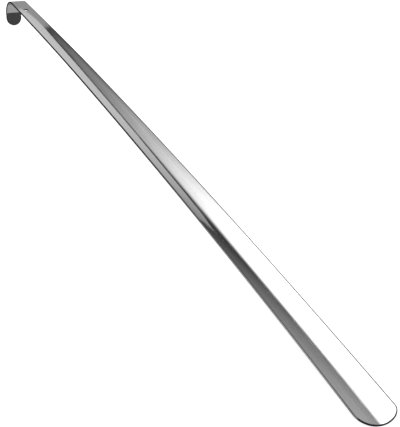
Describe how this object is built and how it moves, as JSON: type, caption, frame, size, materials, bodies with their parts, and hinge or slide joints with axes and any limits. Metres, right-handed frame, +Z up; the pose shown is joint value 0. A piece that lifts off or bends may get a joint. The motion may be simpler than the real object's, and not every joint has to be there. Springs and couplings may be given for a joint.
{
  "type": "long shoehorn",
  "caption": "Long one-piece steel shoehorn: a tapering dished blade with a rounded tip, bent back into a hook at the narrow end, with a small hanging hole below the bend.",
  "frame": {"origin": "middle of the bounding box's footprint, on the surface that the shoehorn lies on", "axes": "+X along the shoehorn, from the hook to the tip of the blade; +Y across it; +Z up, out of the hollow side of the blade"},
  "size_m": [0.7998, 0.041, 0.034],
  "materials": {
    "satin_steel": "satin polish, fine grain along the length"
  },
  "bodies": {
    "root": {"shoehorn": "satin_steel"}
  },
  "joints": []
}
